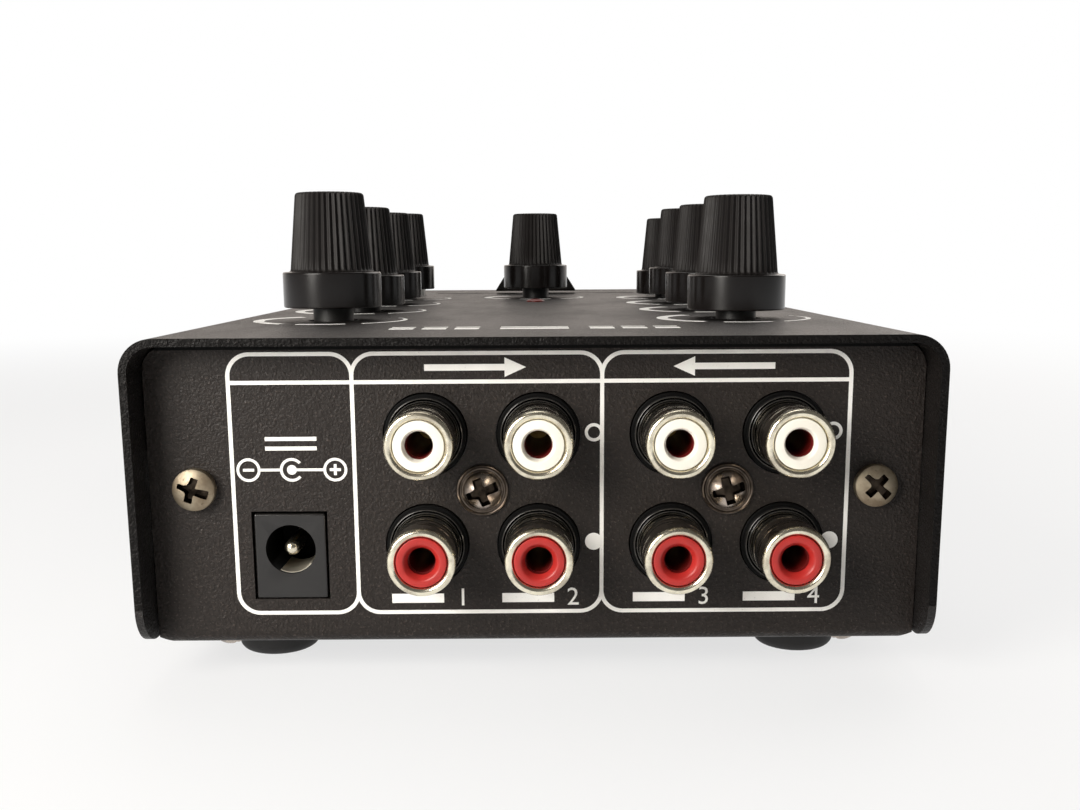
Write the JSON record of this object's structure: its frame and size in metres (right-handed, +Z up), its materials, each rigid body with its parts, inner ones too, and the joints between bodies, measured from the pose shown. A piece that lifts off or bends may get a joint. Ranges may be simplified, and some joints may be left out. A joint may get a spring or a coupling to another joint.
{
  "type": "dj mixer",
  "caption": "Compact DJ mixer in a black steel case: phono sockets and a DC inlet on the rear panel, rotary controls, a crossfader, cue buttons and a lamp on top, 6.35 mm sockets in front.",
  "frame": {"origin": "middle of the part's box on the surface that its feet stand on", "axes": "+Z up, +Y towards the rear socket panel, +X to the user's right; the user stands at -Y"},
  "size_m": [0.1022, 0.1992, 0.0627],
  "materials": {
    "cover_paint": "black textured powder coat",
    "chassis_paint": "black fine-grained powder coat",
    "zinc_plate": "bright zinc plate",
    "warm_nickel": "warm nickel plate",
    "dark_nickel": "dark nickel plate",
    "foot_rubber": "soft black rubber",
    "socket_plastic": "black moulded plastic",
    "bright_nickel": "polished nickel plate",
    "white_plastic": "white moulded plastic",
    "red_plastic": "red moulded plastic",
    "dark_red_plastic": "dark red moulded plastic",
    "contact_brass": "stamped brass",
    "board_green": "green solder mask on laminate",
    "capacitor_sleeve": "dark blue shrink sleeve",
    "chip_black": "black moulded package",
    "ribbon_grey": "grey ribbon",
    "header_cream": "cream moulded plastic",
    "pot_grey": "dark grey moulded plastic",
    "knob_black": "matt black moulded plastic",
    "shaft_black": "black plastic shaft",
    "button_grey": "grey moulded plastic",
    "lamp_red": "red diffused lens"
  },
  "bodies": {
    "mixer_case": {"chassis": "chassis_paint", "top_cover": "cover_paint", "corner_brackets": "zinc_plate", "panel_screws": "warm_nickel", "side_screws": "warm_nickel", "rubber_feet": "foot_rubber", "foot_screws": "dark_nickel", "foot_nuts": "zinc_plate", "output_socket_block": "socket_plastic", "input_socket_block": "socket_plastic", "block_screws": "dark_nickel", "socket_sleeves": "bright_nickel", "white_insulators": "white_plastic", "red_insulators": "red_plastic", "socket_liners": "dark_red_plastic", "socket_contacts": "contact_brass", "dc_inlet_housing": "socket_plastic", "dc_inlet_pin": "bright_nickel", "dc_inlet_spring": "contact_brass", "rear_board": "board_green", "control_board": "board_green", "board_spacers": "contact_brass", "board_screws": "dark_nickel", "underside_screws": "dark_nickel", "capacitors": "capacitor_sleeve", "amplifier_chips": "chip_black", "voltage_regulator": "chip_black", "ribbon_cable": "ribbon_grey", "ribbon_headers": "header_cream", "headphone_socket": "socket_plastic", "microphone_socket": "socket_plastic", "front_socket_nuts": "bright_nickel", "front_socket_contacts": "contact_brass", "potentiometers": "pot_grey", "crossfader_frame": "zinc_plate", "crossfader_screws": "warm_nickel", "power_lamp": "lamp_red", "cue_switches": "chip_black"},
    "ch1_gain": {"ch1_gain_knob": "knob_black", "ch1_gain_shaft": "shaft_black"},
    "ch1_treble": {"ch1_treble_knob": "knob_black", "ch1_treble_shaft": "shaft_black"},
    "ch1_bass": {"ch1_bass_knob": "knob_black", "ch1_bass_shaft": "shaft_black"},
    "ch1_level": {"ch1_level_knob": "knob_black", "ch1_level_shaft": "shaft_black"},
    "ch2_gain": {"ch2_gain_knob": "knob_black", "ch2_gain_shaft": "shaft_black"},
    "ch2_treble": {"ch2_treble_knob": "knob_black", "ch2_treble_shaft": "shaft_black"},
    "ch2_bass": {"ch2_bass_knob": "knob_black", "ch2_bass_shaft": "shaft_black"},
    "ch2_level": {"ch2_level_knob": "knob_black", "ch2_level_shaft": "shaft_black"},
    "master": {"master_knob": "knob_black", "master_shaft": "shaft_black"},
    "crossfader": {"crossfader_tongue": "zinc_plate", "crossfader_cap": "knob_black"},
    "cue_1": {"cue_1_button": "button_grey"},
    "cue_2": {"cue_2_button": "button_grey"}
  },
  "joints": [
    {"name": "ch1_gain_turn", "type": "hinge", "parent": "mixer_case", "child": "ch1_gain", "pos_m": [-0.0303, 0.05695, 0.0438], "axis": [0, 0, -1], "range_deg": [0, 300]},
    {"name": "ch1_treble_turn", "type": "hinge", "parent": "mixer_case", "child": "ch1_treble", "pos_m": [-0.0303, 0.02695, 0.0438], "axis": [0, 0, -1], "range_deg": [0, 300]},
    {"name": "ch1_bass_turn", "type": "hinge", "parent": "mixer_case", "child": "ch1_bass", "pos_m": [-0.0303, -0.00305, 0.0438], "axis": [0, 0, -1], "range_deg": [0, 300]},
    {"name": "ch1_level_turn", "type": "hinge", "parent": "mixer_case", "child": "ch1_level", "pos_m": [-0.0303, -0.03305, 0.0438], "axis": [0, 0, -1], "range_deg": [0, 300]},
    {"name": "ch2_gain_turn", "type": "hinge", "parent": "mixer_case", "child": "ch2_gain", "pos_m": [0.0303, 0.05695, 0.0438], "axis": [0, 0, -1], "range_deg": [0, 300]},
    {"name": "ch2_treble_turn", "type": "hinge", "parent": "mixer_case", "child": "ch2_treble", "pos_m": [0.0303, 0.02695, 0.0438], "axis": [0, 0, -1], "range_deg": [0, 300]},
    {"name": "ch2_bass_turn", "type": "hinge", "parent": "mixer_case", "child": "ch2_bass", "pos_m": [0.0303, -0.00305, 0.0438], "axis": [0, 0, -1], "range_deg": [0, 300]},
    {"name": "ch2_level_turn", "type": "hinge", "parent": "mixer_case", "child": "ch2_level", "pos_m": [0.0303, -0.03305, 0.0438], "axis": [0, 0, -1], "range_deg": [0, 300]},
    {"name": "master_turn", "type": "hinge", "parent": "mixer_case", "child": "master", "pos_m": [0, -0.03705, 0.0438], "axis": [0, 0, -1], "range_deg": [0, 300]},
    {"name": "crossfader_slide", "type": "slide", "parent": "mixer_case", "child": "crossfader", "axis": [1, 0, 0], "range_m": [-0.0225, 0.0225]},
    {"name": "cue_1_press", "type": "slide", "parent": "mixer_case", "child": "cue_1", "axis": [0, 0, -1], "range_m": [0, 0.0015], "stiffness_N_per_m": 300, "springref_m": -0.001},
    {"name": "cue_2_press", "type": "slide", "parent": "mixer_case", "child": "cue_2", "axis": [0, 0, -1], "range_m": [0, 0.0015], "stiffness_N_per_m": 300, "springref_m": -0.001}
  ]
}
